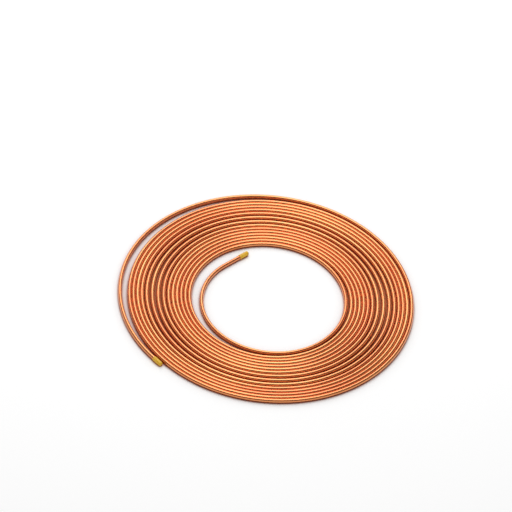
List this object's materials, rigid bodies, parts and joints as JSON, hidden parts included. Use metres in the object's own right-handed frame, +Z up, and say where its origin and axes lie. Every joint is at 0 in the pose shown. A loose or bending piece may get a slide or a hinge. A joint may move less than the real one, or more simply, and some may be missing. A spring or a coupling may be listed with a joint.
{
  "type": "copper tube coil",
  "caption": "Flat single-layer coil of bright soft copper tube wound around an open eye, with a yellow push-on cap closing each free end.",
  "frame": {"origin": "middle of the coil's outline, on the floor that it lies on", "axes": "+Z up, square to the flat coil; the outer end points along +X and the inner end along +Y"},
  "size_m": [0.4596, 0.4598, 0.0076],
  "materials": {
    "copper": "bright drawn copper with fine draw lines",
    "cap_plastic": "soft yellow plastic, semi-matte"
  },
  "bodies": {
    "root": {"tube_coil": "copper", "outer_end_cap": "cap_plastic", "inner_end_cap": "cap_plastic"}
  },
  "joints": []
}
